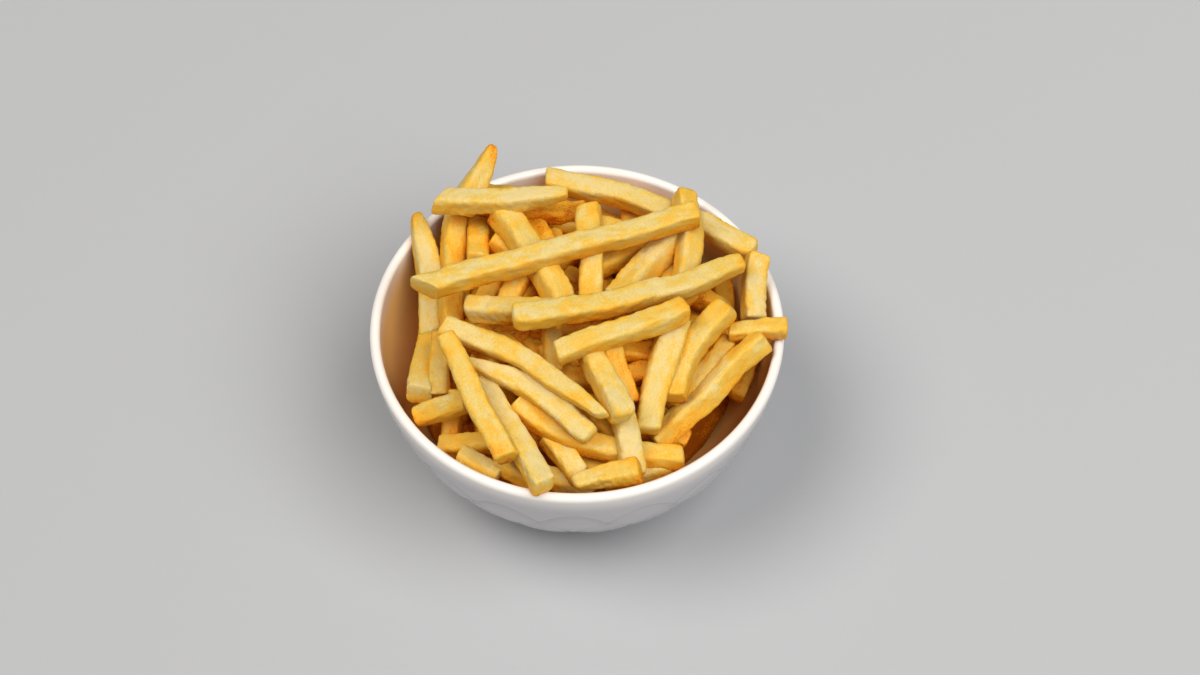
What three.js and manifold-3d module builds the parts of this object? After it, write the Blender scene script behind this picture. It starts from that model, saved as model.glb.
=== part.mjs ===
// A portion of French fries heaped in a small white porcelain bowl.
//
// Millimetres, +Z up. The origin is on the bowl's axis, on the table, and -Y is the front.
// Two solids: the bowl, with rows of arched scales in low relief round its outside, and the heap of
// fries, which is one solid out to its uneven outline: a domed core with the fries that lie on it.

import * as THREE from 'three';
import { mergeVertices } from 'three/addons/utils/BufferGeometryUtils.js';
import Module from 'manifold-3d';

// ---------------------------------------------------------------------------
// Driving dimensions of the bowl
// ---------------------------------------------------------------------------
const BOWL_HEIGHT = 66;
const RIM_RADIUS = 70;
const LIP_THICKNESS = 3.5;
const OUTSIDE_BASE_RADIUS = 24; // where the outside curve would meet the table
const OUTSIDE_FULLNESS = 1.8; // power of the outside curve: 2 is an ellipse, more is fuller
const INSIDE_DEPTH = 60;
const FLOOR_RADIUS = 18; // flat part of the inside
const INSIDE_FULLNESS = 1.9;

const FOOT_INNER_RADIUS = 28;
const FOOT_OUTER_RADIUS = 32;
const FOOT_HEIGHT = 2.6;
const FOOT_DRAFT = 0.5; // how far each side of the foot ring leans in to its flat
const FOOT_RECESS = 2.4; // height of the hollow underside
const BODY_START_HEIGHT = 3.4; // the body's curve begins here, above the foot ring

const SCALES = 18; // in each row round the outside
const SCALE_TURN = -1; // degrees that the front scale of the top row is turned from the front
const CROWN_DEPTHS = [12, 24.5, 36, 46]; // of the arched top edges of each row, below the rim
const ARCH_FALLS = [10.3, 10, 8.5, 6.5]; // from an arch's crown to its two ends
const ARCH_STEP = 1.1; // depth over which the surface steps in under an arch
const SCALE_RECESS = 0.9; // how far it steps in
const SCALE_FADE = 16; // depth over which it comes out again

// ---------------------------------------------------------------------------
// Driving dimensions of the fries
// ---------------------------------------------------------------------------
const CLEARANCE = 0.35; // between the heap and the bowl
const END_SHARE = 0.05; // of a fry's length, over which an end narrows
const END_SIZE = 0.72; // of the end, over the fry's full section
const CORNER_SHARE = 0.72; // where a side of the section ends, over half the width
const THICKNESS_SHARE = 0.9; // a fry's thickness over its width
const SETTLE_SHARE = 0.88; // crossing fries lie this share of their joined thickness apart

const HEAP_TOP = 87; // height of the top layer's middle lines at the heap's highest place
const HEAP_MIDDLE = [-4, 12]; // where that place is
const HEAP_FALL = 26; // how far the heap has fallen at HEAP_REACH from it
const HEAP_REACH = 72;
const LAYER_DROP = 7; // from one layer down to the next
const CORE_TOP = 66; // height of the core under the heap's highest place
const CORE_FALL = 27; // how far the core has fallen at HEAP_REACH from it

const BED_FRIES = 24; // seeded fries on the core, under the placed ones
const BED_RADIUS = 55;
const BED_SHIFT = -5; // moves the bed's middle to the front
const BED_LIMIT = 55; // no fry of the bed reaches further out from that middle
const BED_SWING = 2.4; // radians by which their headings vary
const BED_LENGTHS = [28, 44]; // least and most
const BED_WIDTHS = [6.4, 7.9]; // least and most
const BED_SEED = 114;

// The placed fries in three layers, each listed from its lowest fry to its highest. A row has the
// two ends of the fry's middle line, its width and how far it bows to the left of its direction.
// The ends are marked on the plane of the rim, and the fry is then slid along the line from EYE
// through them to the height where it settles. Two more numbers, where there are any, are the
// heights at which its ends are held instead.
const EYE = [8, -461, 705];
const DEEP_FRIES = [
  [-35, 49, -34, 25, 7.8, 0],
  [-30, 36, -12, 21, 7.5, 0],
  [-18, 46, -10, 32, 7.5, 0],
  [3, 22, 27, 34, 7.5, 0],
  [-40, -27, -41, -53, 6.5, 0],
  [-44, -50, -18, -46, 7, 0],
  [-38, -52.5, -24.5, -60.5, 6.4, 0, 59, 57],
  [-25, -54, -12.5, -63.5, 7, 0, 60, 57],
  [-44, -4, -25, -16, 6.5, 0],
  [-9, 2, -8, -20, 6.5, 0, 71, 65],
  [-17, 26, -25, 4, 7, 0],
  [34, 16, 51, 4, 7, 0],
  [58, -14, 52.5, -30.5, 6, 0, 46, 44],
  [21, -42, 36, -48, 6.5, 0],
  [7, -11, 37, -14, 7, 0],
  [9, -23, 35, -19, 7, 0],
  [11, -8, 18, -33, 7, 0],
  [-5, -27, 13, -46, 7, 0],
];
const MIDDLE_FRIES = [
  [-35, 56, -9, 54, 6, 0],
  [-36, 49, 2, 47.5, 7, -1],
  [4, 50, 5, 6, 8.2, 0],
  [-11.5, 62.5, 61, 30, 8, 4.5],
  [32.5, 36, 13, 8.5, 9, 0],
  [37, 56.5, 36, 10, 8.2, 2],
  [63, 29, 60, 1, 8, -1.5, 73, 63],
  [-28, 48.5, -5, 8, 9.2, 1.5],
  [-56.5, 47.5, -48.5, -11, 8.8, 2],
  [-41.5, 51, -42, -4, 8.2, -1.5],
  [-30.5, 78.5, -41.5, 47, 9.5, 0.5, 88, 76],
  [-37.5, 5.5, -6, 3, 8, 1],
  [-48.5, 3, -52, -29.5, 8.8, 0, 52, 61],
  [-46, -3, -45, -29, 6.5, 0],
  [-51.5, -38.5, -36, -31, 7, 0],
  [52, -7, 31, -34, 6.2, 0],
  [63, -6, 26, -48.5, 7.6, 0],
  [51.5, 7.5, 31.5, -31, 8.4, -3],
  [33, 3, 22.5, -44, 8.8, 0],
  [-10, -45, 2, -62, 7.4, 0],
  [-21, -33, 35, -53.5, 6.8, -6],
  [14.5, -34, 19, -61, 8, 0],
  [4, -11, 15.5, -39, 8, 0],
];
const TOP_FRIES = [
  [-45, -1.5, 8.5, -38, 7.4, 4],
  [-31, -22, -9.5, -65, 7.8, -1],
  [-37, -15.5, 5, -46, 7.8, 3.5],
  [-44.5, -5, -22.5, -54.5, 8, 0],
  [-1, -64, 21, -58.5, 8, 1],
  [-7, -13, 37, 6, 7.6, 0],
  [-22, 2.5, 57, 26, 7.8, -4],
  [-49, 52.5, -3.5, 56, 7.4, -1],
  [-53, 15, 42, 47, 7.8, 0],
  [51, -4, 71, -1.5, 6.8, 0, 69, 70.5],
];

// ---------------------------------------------------------------------------
// How finely the surfaces are split
// ---------------------------------------------------------------------------
const COLUMNS_PER_SCALE = 4;
const LIP_STEPS = 4;
const INSIDE_ROWS = 7;
const CORE_COLUMNS = 30;
const CORE_ROWS = 5;
const ROOM_COLUMNS = 36;
const SPAN_SAMPLES = 9; // places along a fry where it may touch another
const SETTLING_SWEEPS = 120;
const HEAP_SEARCHES = 12; // halvings of the error when a mark's height on the heap is found
const FREE_STEP = 0.5; // steps in which an end's free heights are found
const PULL = 0.08; // share of the way back to its layer that a fry goes in each sweep
const SKY = 130; // top of the open air over the heap
const AIR_RADIUS = 90; // of the open air over the heap

// ---------------------------------------------------------------------------
// Solids joined and cut
// ---------------------------------------------------------------------------
const wasm = await Module();
wasm.setup();

function toSolid(geometry) {
  const bare = geometry.clone();
  bare.deleteAttribute('normal');
  bare.deleteAttribute('uv');
  const merged = mergeVertices(bare, 1e-4);
  const mesh = new wasm.Mesh({
    numProp: 3,
    vertProperties: new Float32Array(merged.attributes.position.array),
    triVerts: new Uint32Array(merged.index.array),
  });
  return new wasm.Manifold(mesh);
}

function toGeometry(solid) {
  const mesh = solid.getMesh();
  const geometry = new THREE.BufferGeometry();
  geometry.setAttribute('position', new THREE.BufferAttribute(mesh.vertProperties, 3));
  geometry.setIndex(new THREE.BufferAttribute(mesh.triVerts, 1));
  geometry.computeVertexNormals();
  return geometry;
}

// ---------------------------------------------------------------------------
// A closed skin over rings of points
// ---------------------------------------------------------------------------
// Each ring is a list of points, anticlockwise seen along the direction in which the rings follow
// each other. The first and the last ring are closed by a fan round their middle points.
function skinOverRings(rings, firstPole, lastPole) {
  const sides = rings[0].length;
  const points = [...rings.flat(), firstPole, lastPole];
  const firstIndex = points.length - 2;
  const lastIndex = points.length - 1;
  const faces = [];
  for (let ring = 0; ring < rings.length - 1; ring += 1) {
    for (let side = 0; side < sides; side += 1) {
      const next = (side + 1) % sides;
      const a = ring * sides + side;
      const b = ring * sides + next;
      faces.push(a, b, b + sides, a, b + sides, a + sides);
    }
  }
  const lastRing = (rings.length - 1) * sides;
  for (let side = 0; side < sides; side += 1) {
    const next = (side + 1) % sides;
    faces.push(firstIndex, next, side);
    faces.push(lastIndex, lastRing + side, lastRing + next);
  }
  const geometry = new THREE.BufferGeometry();
  const flat = points.flatMap((point) => [point.x, point.y, point.z]);
  geometry.setAttribute('position', new THREE.Float32BufferAttribute(flat, 3));
  geometry.setIndex(faces);
  geometry.computeVertexNormals();
  return geometry;
}

// ---------------------------------------------------------------------------
// The bowl
// ---------------------------------------------------------------------------
// Radius of a rounded wall at a depth below the rim: a superellipse quarter that hangs straight
// down at the rim and lies flat at the full depth.
function wallRadius(depth, fullDepth, baseRadius, topRadius, fullness) {
  const share = Math.min(depth / fullDepth, 1);
  const swell = (1 - share ** fullness) ** (1 / fullness);
  return baseRadius + (topRadius - baseRadius) * swell;
}

function outsideRadius(depth) {
  return wallRadius(depth, BOWL_HEIGHT, OUTSIDE_BASE_RADIUS, RIM_RADIUS, OUTSIDE_FULLNESS);
}

function insideRadius(depth) {
  const top = RIM_RADIUS - LIP_THICKNESS;
  return wallRadius(depth, INSIDE_DEPTH, FLOOR_RADIUS, top, INSIDE_FULLNESS);
}

// Depth of one row of points down the inside, closer together towards the floor.
function insideRowDepth(row) {
  return INSIDE_DEPTH * Math.sin((Math.PI / 2) * (row / INSIDE_ROWS));
}

// Depth of the arched top edge of a row of scales. The turn counts scales round from the middle of
// the front one, and every other row is half a scale further on.
function archDepth(row, turn) {
  const shifted = turn + (row % 2) / 2;
  const away = 2 * Math.abs(shifted - Math.round(shifted));
  return CROWN_DEPTHS[row] + ARCH_FALLS[row] * away ** 2;
}

// How far the surface lies in from the bowl's plain curve: most just under an arch, and less and
// less further down the scale.
function recess(depth, turn) {
  const shares = CROWN_DEPTHS.map((_, row) => {
    const below = depth - archDepth(row, turn);
    const fade = Math.max(1 - (below - ARCH_STEP) / SCALE_FADE, 0) ** 2;
    return Math.min(Math.max(below / ARCH_STEP, 0), fade, 1);
  });
  return SCALE_RECESS * Math.max(...shares);
}

function bowlProfile(turn) {
  const profile = [
    [FOOT_INNER_RADIUS - FOOT_DRAFT, FOOT_RECESS],
    [FOOT_INNER_RADIUS, 0],
    [FOOT_OUTER_RADIUS, 0],
    [FOOT_OUTER_RADIUS + FOOT_DRAFT, FOOT_HEIGHT],
  ];
  const archRows = CROWN_DEPTHS.map((_, row) => archDepth(row, turn));
  const depths = [BOWL_HEIGHT - BODY_START_HEIGHT];
  for (const arch of archRows.reverse()) {
    depths.push(arch + ARCH_STEP, arch);
  }
  for (const depth of depths) {
    profile.push([outsideRadius(depth) - recess(depth, turn), BOWL_HEIGHT - depth]);
  }
  const lipRadius = LIP_THICKNESS / 2;
  for (let step = 0; step <= LIP_STEPS; step += 1) {
    const angle = (Math.PI * step) / LIP_STEPS;
    const radius = RIM_RADIUS - lipRadius + lipRadius * Math.cos(angle);
    profile.push([radius, BOWL_HEIGHT - lipRadius + lipRadius * Math.sin(angle)]);
  }
  for (let row = 1; row <= INSIDE_ROWS; row += 1) {
    const depth = insideRowDepth(row);
    profile.push([insideRadius(depth), BOWL_HEIGHT - depth]);
  }
  return profile;
}

function makeBowl() {
  const columns = SCALES * COLUMNS_PER_SCALE;
  const front = -Math.PI / 2 + THREE.MathUtils.degToRad(SCALE_TURN);
  const profiles = [];
  for (let column = 0; column < columns; column += 1) {
    const angle = front + (2 * Math.PI * column) / columns;
    const toPoint = ([radius, height]) =>
      new THREE.Vector3(radius * Math.cos(angle), radius * Math.sin(angle), height);
    profiles.push(bowlProfile(column / COLUMNS_PER_SCALE).map(toPoint));
  }
  const rings = profiles[0].map((_, row) => profiles.map((profile) => profile[row]));
  const underside = new THREE.Vector3(0, 0, FOOT_RECESS);
  const floor = new THREE.Vector3(0, 0, BOWL_HEIGHT - INSIDE_DEPTH);
  return skinOverRings(rings, underside, floor);
}

// ---------------------------------------------------------------------------
// The space that the heap may fill
// ---------------------------------------------------------------------------
// The inside of the bowl, less the clearance, and the open air above the rim.
function makeRoom() {
  const profile = [new THREE.Vector2(0, BOWL_HEIGHT - INSIDE_DEPTH + CLEARANCE)];
  for (let row = INSIDE_ROWS; row >= 0; row -= 1) {
    const depth = insideRowDepth(row);
    const radius = insideRadius(depth) - CLEARANCE;
    profile.push(new THREE.Vector2(radius, BOWL_HEIGHT - depth + CLEARANCE));
  }
  profile.push(new THREE.Vector2(AIR_RADIUS, BOWL_HEIGHT + CLEARANCE));
  profile.push(new THREE.Vector2(AIR_RADIUS, SKY));
  profile.push(new THREE.Vector2(0, SKY));
  return upright(new THREE.LatheGeometry(profile, ROOM_COLUMNS));
}

// LatheGeometry turns its profile round Y, so it is stood up on Z.
function upright(lathe) {
  return lathe.rotateX(Math.PI / 2);
}

// ---------------------------------------------------------------------------
// The core of the heap
// ---------------------------------------------------------------------------
function coreHeight(x, y) {
  const away = Math.hypot(x - HEAP_MIDDLE[0], y - HEAP_MIDDLE[1]);
  return CORE_TOP - CORE_FALL * (away / HEAP_REACH) ** 2;
}

// It runs past the wall and through the floor, and is cut to the bowl's inside later.
function makeCore() {
  const reach = RIM_RADIUS + Math.hypot(...HEAP_MIDDLE);
  const profile = [new THREE.Vector2(0, 0), new THREE.Vector2(reach, 0)];
  for (let row = CORE_ROWS; row >= 0; row -= 1) {
    const radius = (reach * row) / CORE_ROWS;
    const height = coreHeight(HEAP_MIDDLE[0] + radius, HEAP_MIDDLE[1]);
    profile.push(new THREE.Vector2(radius, height));
  }
  const dome = upright(new THREE.LatheGeometry(profile, CORE_COLUMNS));
  return dome.translate(...HEAP_MIDDLE, 0);
}

// ---------------------------------------------------------------------------
// Where each fry settles
// ---------------------------------------------------------------------------
// A repeatable draw of numbers from 0 to 1.
function makeDraw(seed) {
  let state = seed;
  return () => {
    state = (state * 16807) % 2147483647;
    return state / 2147483647;
  };
}

// A point of the rim's plane, slid along the line from EYE through it to a height.
function slide([x, y], height) {
  const share = (EYE[2] - height) / (EYE[2] - BOWL_HEIGHT);
  return new THREE.Vector3(EYE[0] + (x - EYE[0]) * share, EYE[1] + (y - EYE[1]) * share, height);
}

// The mark on the rim's plane at a share of a fry's length: a straight line with a bow.
function markAt(fry, along) {
  const run = [fry.end[0] - fry.start[0], fry.end[1] - fry.start[1]];
  const bow = (4 * along * (1 - along) * fry.bow) / Math.hypot(...run);
  return [
    fry.start[0] + run[0] * along - run[1] * bow,
    fry.start[1] + run[1] * along + run[0] * bow,
  ];
}

function heightAt(fry, along) {
  return fry.heights[0] + (fry.heights[1] - fry.heights[0]) * along;
}

function pointAt(fry, along) {
  return slide(markAt(fry, along), heightAt(fry, along));
}

// The height at which a mark meets the heap's own shape, less a drop for the lower layers.
function heapHeight(mark, drop) {
  let height = BOWL_HEIGHT;
  for (let round = 0; round < HEAP_SEARCHES; round += 1) {
    const point = slide(mark, height);
    const away = Math.hypot(point.x - HEAP_MIDDLE[0], point.y - HEAP_MIDDLE[1]);
    height = (height + HEAP_TOP - drop - HEAP_FALL * (away / HEAP_REACH) ** 2) / 2;
  }
  return height;
}

// Whether a fry's end of a given half width runs into the bowl or deep into the core.
function blocked(mark, height, half) {
  const point = slide(mark, height);
  const radius = Math.hypot(point.x, point.y);
  const depth = BOWL_HEIGHT - height;
  if (depth < -half) {
    return false;
  }
  const wall = insideRadius(Math.max(depth, 0)) - CLEARANCE;
  return radius > wall - half || height < coreHeight(point.x, point.y);
}

// The way from EYE leans, so a step along it is longer than its rise, and a step along Y looks
// shorter than a step along X.
const SIGHT_RISE = (EYE[2] - BOWL_HEIGHT) / Math.hypot(EYE[1], EYE[2] - BOWL_HEIGHT);

// The place along a fry that looks nearest to a mark, and how far away it looks.
function nearestAlong(mark, fry) {
  const flat = ([x, y]) => [x, y * SIGHT_RISE];
  const [startX, startY] = flat(fry.start);
  const [endX, endY] = flat(fry.end);
  const [x, y] = flat(mark);
  const run = [endX - startX, endY - startY];
  const share = ((x - startX) * run[0] + (y - startY) * run[1]) / (run[0] ** 2 + run[1] ** 2);
  const along = Math.min(Math.max(share, 0), 1);
  const [nearX, nearY] = flat(markAt(fry, along));
  return { along, away: Math.hypot(x - nearX, y - nearY) };
}

// Every place where a fry looks closer to an earlier one than the two are thick. There the later
// one has to lie higher by the gap, so that the two stay apart along the line of sight.
function findContacts(fries) {
  const contacts = [];
  fries.forEach((upper, order) => {
    for (const lower of fries.slice(0, order)) {
      const apart = ((upper.width + lower.width) / 2) * THICKNESS_SHARE * SETTLE_SHARE;
      for (let i = 0; i < SPAN_SAMPLES; i += 1) {
        const upperAlong = i / (SPAN_SAMPLES - 1);
        const near = nearestAlong(markAt(upper, upperAlong), lower);
        if (near.away < apart) {
          const gap = Math.sqrt(apart ** 2 - near.away ** 2);
          contacts.push({ upper, upperAlong, lower, lowerAlong: near.along, gap });
        }
      }
    }
  });
  return contacts;
}

// Raises the height at one place of a fry, as the least change of its two ends does it.
function nudge(fry, along, rise) {
  fry.heights[0] += rise * (1 - along);
  fry.heights[1] += rise * along;
}

// Each sweep draws every fry back towards its layer and then parts each touching pair, the upper
// fry up and the lower one down. An end stays between the heights where it is free to move.
function settle(fries) {
  const contacts = findContacts(fries);
  for (let sweep = 0; sweep < SETTLING_SWEEPS; sweep += 1) {
    for (const fry of fries) {
      fry.heights = fry.heights.map((height, i) => height + PULL * (fry.ranges[i].goal - height));
    }
    for (const { upper, upperAlong, lower, lowerAlong, gap } of contacts) {
      const missing = gap - heightAt(upper, upperAlong) + heightAt(lower, lowerAlong);
      if (missing > 0) {
        const give =
          (1 - upperAlong) ** 2 + upperAlong ** 2 + (1 - lowerAlong) ** 2 + lowerAlong ** 2;
        nudge(upper, upperAlong, missing / give);
        nudge(lower, lowerAlong, -missing / give);
      }
    }
    for (const fry of fries) {
      fry.heights = fry.heights.map((height, i) =>
        THREE.MathUtils.clamp(height, fry.ranges[i].lowest, fry.ranges[i].highest),
      );
    }
  }
}

// The heights between which an end is free to move, and the free height nearest over its goal.
function freeRange(mark, goal, half) {
  let start = goal;
  while (blocked(mark, start, half)) {
    start += FREE_STEP;
  }
  let lowest = start;
  while (lowest > 0 && !blocked(mark, lowest - FREE_STEP, half)) {
    lowest -= FREE_STEP;
  }
  let highest = start;
  while (highest < SKY && !blocked(mark, highest + FREE_STEP, half)) {
    highest += FREE_STEP;
  }
  return { goal: start, lowest, highest };
}

// An end that is held stays at its goal.
function heldRange(mark, goal, half) {
  const range = freeRange(mark, goal, half);
  return { goal: range.goal, lowest: range.goal, highest: range.goal };
}

// A fry in a layer, where layer 0 is the top of the heap.
function makePlan(layer, [startX, startY, endX, endY, width, bow, ...held]) {
  const marks = [
    [startX, startY],
    [endX, endY],
  ];
  const ranges = marks.map((mark, i) =>
    held.length > 0
      ? heldRange(mark, held[i], width / 2)
      : freeRange(mark, heapHeight(mark, layer * LAYER_DROP), width / 2),
  );
  const heights = ranges.map((range) => range.goal);
  return { start: marks[0], end: marks[1], width, bow, ranges, heights };
}

// A mark drawn in to the circle of BED_LIMIT round the bed's middle.
function drawnIn([x, y]) {
  const share = Math.min(1, BED_LIMIT / Math.hypot(x, y - BED_SHIFT));
  return [x * share, BED_SHIFT + (y - BED_SHIFT) * share];
}

// The bed is spread evenly by the golden angle, each fry turned across its radius.
function bedRows() {
  const draw = makeDraw(BED_SEED);
  const goldenAngle = Math.PI * (3 - Math.sqrt(5));
  return Array.from({ length: BED_FRIES }, (_, i) => {
    const radius = BED_RADIUS * Math.sqrt((i + 0.5) / BED_FRIES);
    const turn = i * goldenAngle;
    const middle = [radius * Math.cos(turn), radius * Math.sin(turn) + BED_SHIFT];
    const heading = turn + Math.PI / 2 + (draw() - 0.5) * BED_SWING;
    const half = THREE.MathUtils.lerp(...BED_LENGTHS, draw()) / 2;
    const ends = [-half, half].map((reach) =>
      drawnIn([middle[0] + reach * Math.cos(heading), middle[1] + reach * Math.sin(heading)]),
    );
    const width = THREE.MathUtils.lerp(...BED_WIDTHS, draw());
    return [...ends[0], ...ends[1], width, 0];
  });
}

// ---------------------------------------------------------------------------
// One fry
// ---------------------------------------------------------------------------
// An eight-sided bar, square with the corners cut, over rings along its middle line. A bowed one
// has one more ring in its middle.
function frySection(width) {
  const half = width / 2;
  const cut = half * CORNER_SHARE;
  const thin = THICKNESS_SHARE;
  return [
    [half, -cut * thin],
    [half, cut * thin],
    [cut, half * thin],
    [-cut, half * thin],
    [-half, cut * thin],
    [-half, -cut * thin],
    [-cut, -half * thin],
    [cut, -half * thin],
  ];
}

function makeFry(fry) {
  const direction = pointAt(fry, 1).sub(pointAt(fry, 0)).normalize();
  const across = new THREE.Vector3(0, 0, 1).cross(direction).normalize();
  const upward = direction.clone().cross(across);
  const section = frySection(fry.width);
  const bend = fry.bow === 0 ? [] : [0.5];
  const rings = [0, END_SHARE, ...bend, 1 - END_SHARE, 1].map((along) => {
    const middle = pointAt(fry, along);
    const size = along === 0 || along === 1 ? END_SIZE : 1;
    return section.map(([side, up]) =>
      middle
        .clone()
        .addScaledVector(across, side * size)
        .addScaledVector(upward, up * size),
    );
  });
  return skinOverRings(rings, pointAt(fry, 0), pointAt(fry, 1));
}

// ---------------------------------------------------------------------------
// The heap
// ---------------------------------------------------------------------------
function makeHeap() {
  const layers = [TOP_FRIES, MIDDLE_FRIES, DEEP_FRIES, bedRows()];
  const fries = layers.flatMap((rows, layer) => rows.map((row) => makePlan(layer, row)).reverse());
  fries.reverse();
  settle(fries);
  let heap = toSolid(makeCore());
  for (const fry of fries) {
    heap = heap.add(toSolid(makeFry(fry)));
  }
  heap = heap.intersect(toSolid(makeRoom()));
  // Sealed hollows and loose scraps come away as pieces of their own, and the largest stays.
  const pieces = heap.decompose();
  pieces.sort((a, b) => b.volume() - a.volume());
  return toGeometry(pieces[0]);
}

// ---------------------------------------------------------------------------
// The portion
// ---------------------------------------------------------------------------
const porcelain = new THREE.MeshStandardMaterial({ color: 0xf5f0ec, roughness: 0.25 });
const friedPotato = new THREE.MeshStandardMaterial({ color: 0xf0c768, roughness: 0.6 });

const bowl = new THREE.Mesh(makeBowl(), porcelain);
bowl.name = 'bowl';

const fries = new THREE.Mesh(makeHeap(), friedPotato);
fries.name = 'fries';

const portion = new THREE.Group();
portion.add(bowl, fries);

export default portion;
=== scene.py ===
# %% [markdown]
# # French fries in a porcelain bowl
#
# A small white bowl with rows of arched scales round its outside, heaped with French fries. The
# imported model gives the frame: the bowl's axis is Z, the table is z = 0 and the front is -Y. Blender
# works in metres. The formulas below work in millimetres, as a potter or a cook would, and MM turns
# one into the other when a mesh is made.

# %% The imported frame
import math
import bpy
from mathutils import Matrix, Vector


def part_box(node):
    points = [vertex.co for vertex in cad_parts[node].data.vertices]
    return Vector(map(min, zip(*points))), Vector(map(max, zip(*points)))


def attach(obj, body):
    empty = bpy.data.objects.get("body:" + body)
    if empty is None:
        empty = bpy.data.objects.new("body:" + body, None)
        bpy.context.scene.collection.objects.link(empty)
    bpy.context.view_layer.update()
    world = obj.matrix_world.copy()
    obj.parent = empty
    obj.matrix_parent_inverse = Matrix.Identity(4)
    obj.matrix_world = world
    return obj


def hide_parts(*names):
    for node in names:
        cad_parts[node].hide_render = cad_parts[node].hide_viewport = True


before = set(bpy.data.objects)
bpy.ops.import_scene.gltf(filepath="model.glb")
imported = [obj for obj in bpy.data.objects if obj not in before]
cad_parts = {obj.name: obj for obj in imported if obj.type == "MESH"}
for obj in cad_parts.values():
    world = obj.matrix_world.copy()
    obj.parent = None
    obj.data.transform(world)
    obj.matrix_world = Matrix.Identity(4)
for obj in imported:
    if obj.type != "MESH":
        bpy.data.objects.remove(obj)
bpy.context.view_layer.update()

from types import SimpleNamespace

import bpy
import numpy as np
from mathutils import Vector

MM = 0.001
bowl_low, bowl_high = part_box("bowl")
BOWL_HEIGHT = round(bowl_high.z / MM, 1)
RIM_RADIUS = round((bowl_high.x - bowl_low.x) / 2 / MM, 1)
print(f"bowl: {BOWL_HEIGHT} mm high, rim radius {RIM_RADIUS} mm")

# %% [markdown]
# ## Camera
#
# A 70 mm lens on a 36 mm sensor looks down at the bowl from the front, about 55 degrees above the
# horizon. A turn about X alone keeps the picture level, and the frame needs no shift.

# %% Camera
LENS = 70
SENSOR_WIDTH = 36
ELEVATION = 54.54
CAMERA_PLACE = (7.73, -460.9, 704.7)


def new_object(name, data):
    """An object in the scene that holds a mesh, a lamp or a camera."""
    made = bpy.data.objects.new(name, data)
    bpy.context.scene.collection.objects.link(made)
    return made


camera = new_object("camera", bpy.data.cameras.new("camera"))
camera.data.lens = LENS
camera.data.sensor_width = SENSOR_WIDTH
camera.location = [c * MM for c in CAMERA_PLACE]
camera.rotation_euler = (math.radians(90 - ELEVATION), 0, 0)
bpy.context.scene.camera = camera
print("camera stands", round(math.dist(CAMERA_PLACE, (0, 0, BOWL_HEIGHT))), "mm from the rim's middle")

# %% [markdown]
# ## Colours, nodes and meshes
#
# A few helpers serve everything below. Colours are written as sRGB hex values, as a colour picker
# shows them, and turned to the linear values that shaders want. One function adds a shader node with
# its settings and links. And every piece is a skin over rings of points, so one function turns an
# array of rings into a closed mesh.

# %% Colours and nodes
def linear(hex_colour):
    """sRGB to linear: c / 12.92 up to 0.04045, and ((c + 0.055) / 1.055) ** 2.4 above it."""
    channels = np.array([int(hex_colour[i : i + 2], 16) for i in (1, 3, 5)]) / 255
    bright = ((channels + 0.055) / 1.055) ** 2.4
    return (*np.where(channels <= 0.04045, channels / 12.92, bright), 1.0)


def add(tree, kind, inputs=None, **settings):
    """Adds a node: settings are its properties, inputs are its values or the sockets linked to it."""
    made = tree.nodes.new(kind)
    for name, value in settings.items():
        setattr(made, name, value)
    for name, value in (inputs or {}).items():
        if isinstance(value, bpy.types.NodeSocket):
            tree.links.new(value, made.inputs[name])
        else:
            made.inputs[name].default_value = value
    return made


def new_material(name):
    """A new material, its emptied node tree and its output node."""
    material = bpy.data.materials.new(name)
    material.use_nodes = True
    material.node_tree.nodes.clear()
    return material, material.node_tree, material.node_tree.nodes.new("ShaderNodeOutputMaterial")


# %% Meshes
def skin_faces(rings, sides):
    """Quads between the rings, numbered ring after ring, and a fan to each of the two last points."""
    ring, side = np.meshgrid(np.arange(rings - 1), np.arange(sides), indexing="ij")
    following = (side + 1) % sides
    low, high = ring * sides, (ring + 1) * sides
    quads = np.stack([low + side, low + following, high + following, high + side], -1)
    around = np.arange(sides)
    onward = (around + 1) % sides
    last = (rings - 1) * sides
    first_pole = np.full(sides, rings * sides)
    fans = [
        np.stack([first_pole, onward, around], -1),
        np.stack([first_pole + 1, last + around, last + onward], -1),
    ]
    return quads.reshape(-1, 4), np.concatenate(fans)


def make_piece(name, skins, material, body="root"):
    """
    Joins skins into one mesh piece. A skin has points (rings, sides, 3) in millimetres, its two
    poles (2, 3) and arrays of the same layout, one for each named attribute.
    """
    points, faces, values = [], [], {}
    count = 0
    for skin in skins:
        rings, sides = skin.points.shape[:2]
        quads, fans = skin_faces(rings, sides)
        faces += (quads + count).tolist() + (fans + count).tolist()
        points += [skin.points.reshape(-1, 3), skin.poles]
        for key, (grid, ends) in skin.values.items():
            flat = grid.reshape(rings * sides, -1)
            values.setdefault(key, []).append(np.concatenate([flat, np.reshape(ends, (2, -1))]))
        count += rings * sides + 2
    mesh = bpy.data.meshes.new(name)
    mesh.from_pydata(np.concatenate(points) * MM, [], faces)
    for key, parts in values.items():
        table = np.concatenate(parts)
        kind, field = ("FLOAT_VECTOR", "vector") if table.shape[1] == 3 else ("FLOAT", "value")
        mesh.attributes.new(key, kind, "POINT").data.foreach_set(field, table.ravel())
    mesh.polygons.foreach_set("use_smooth", np.ones(len(mesh.polygons), bool))
    mesh.materials.append(material)
    mesh.update()
    piece = new_object(name, mesh)
    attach(piece, body)
    print(f"{name}: {len(skins)} skins, {sum(len(f) - 2 for f in faces)} triangles")
    return piece


def smooth(share):
    """The smooth step 3t^2 - 2t^3, held at 0 below 0 and at 1 above 1."""
    t = np.clip(share, 0, 1)
    return t * t * (3 - 2 * t)


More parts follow.
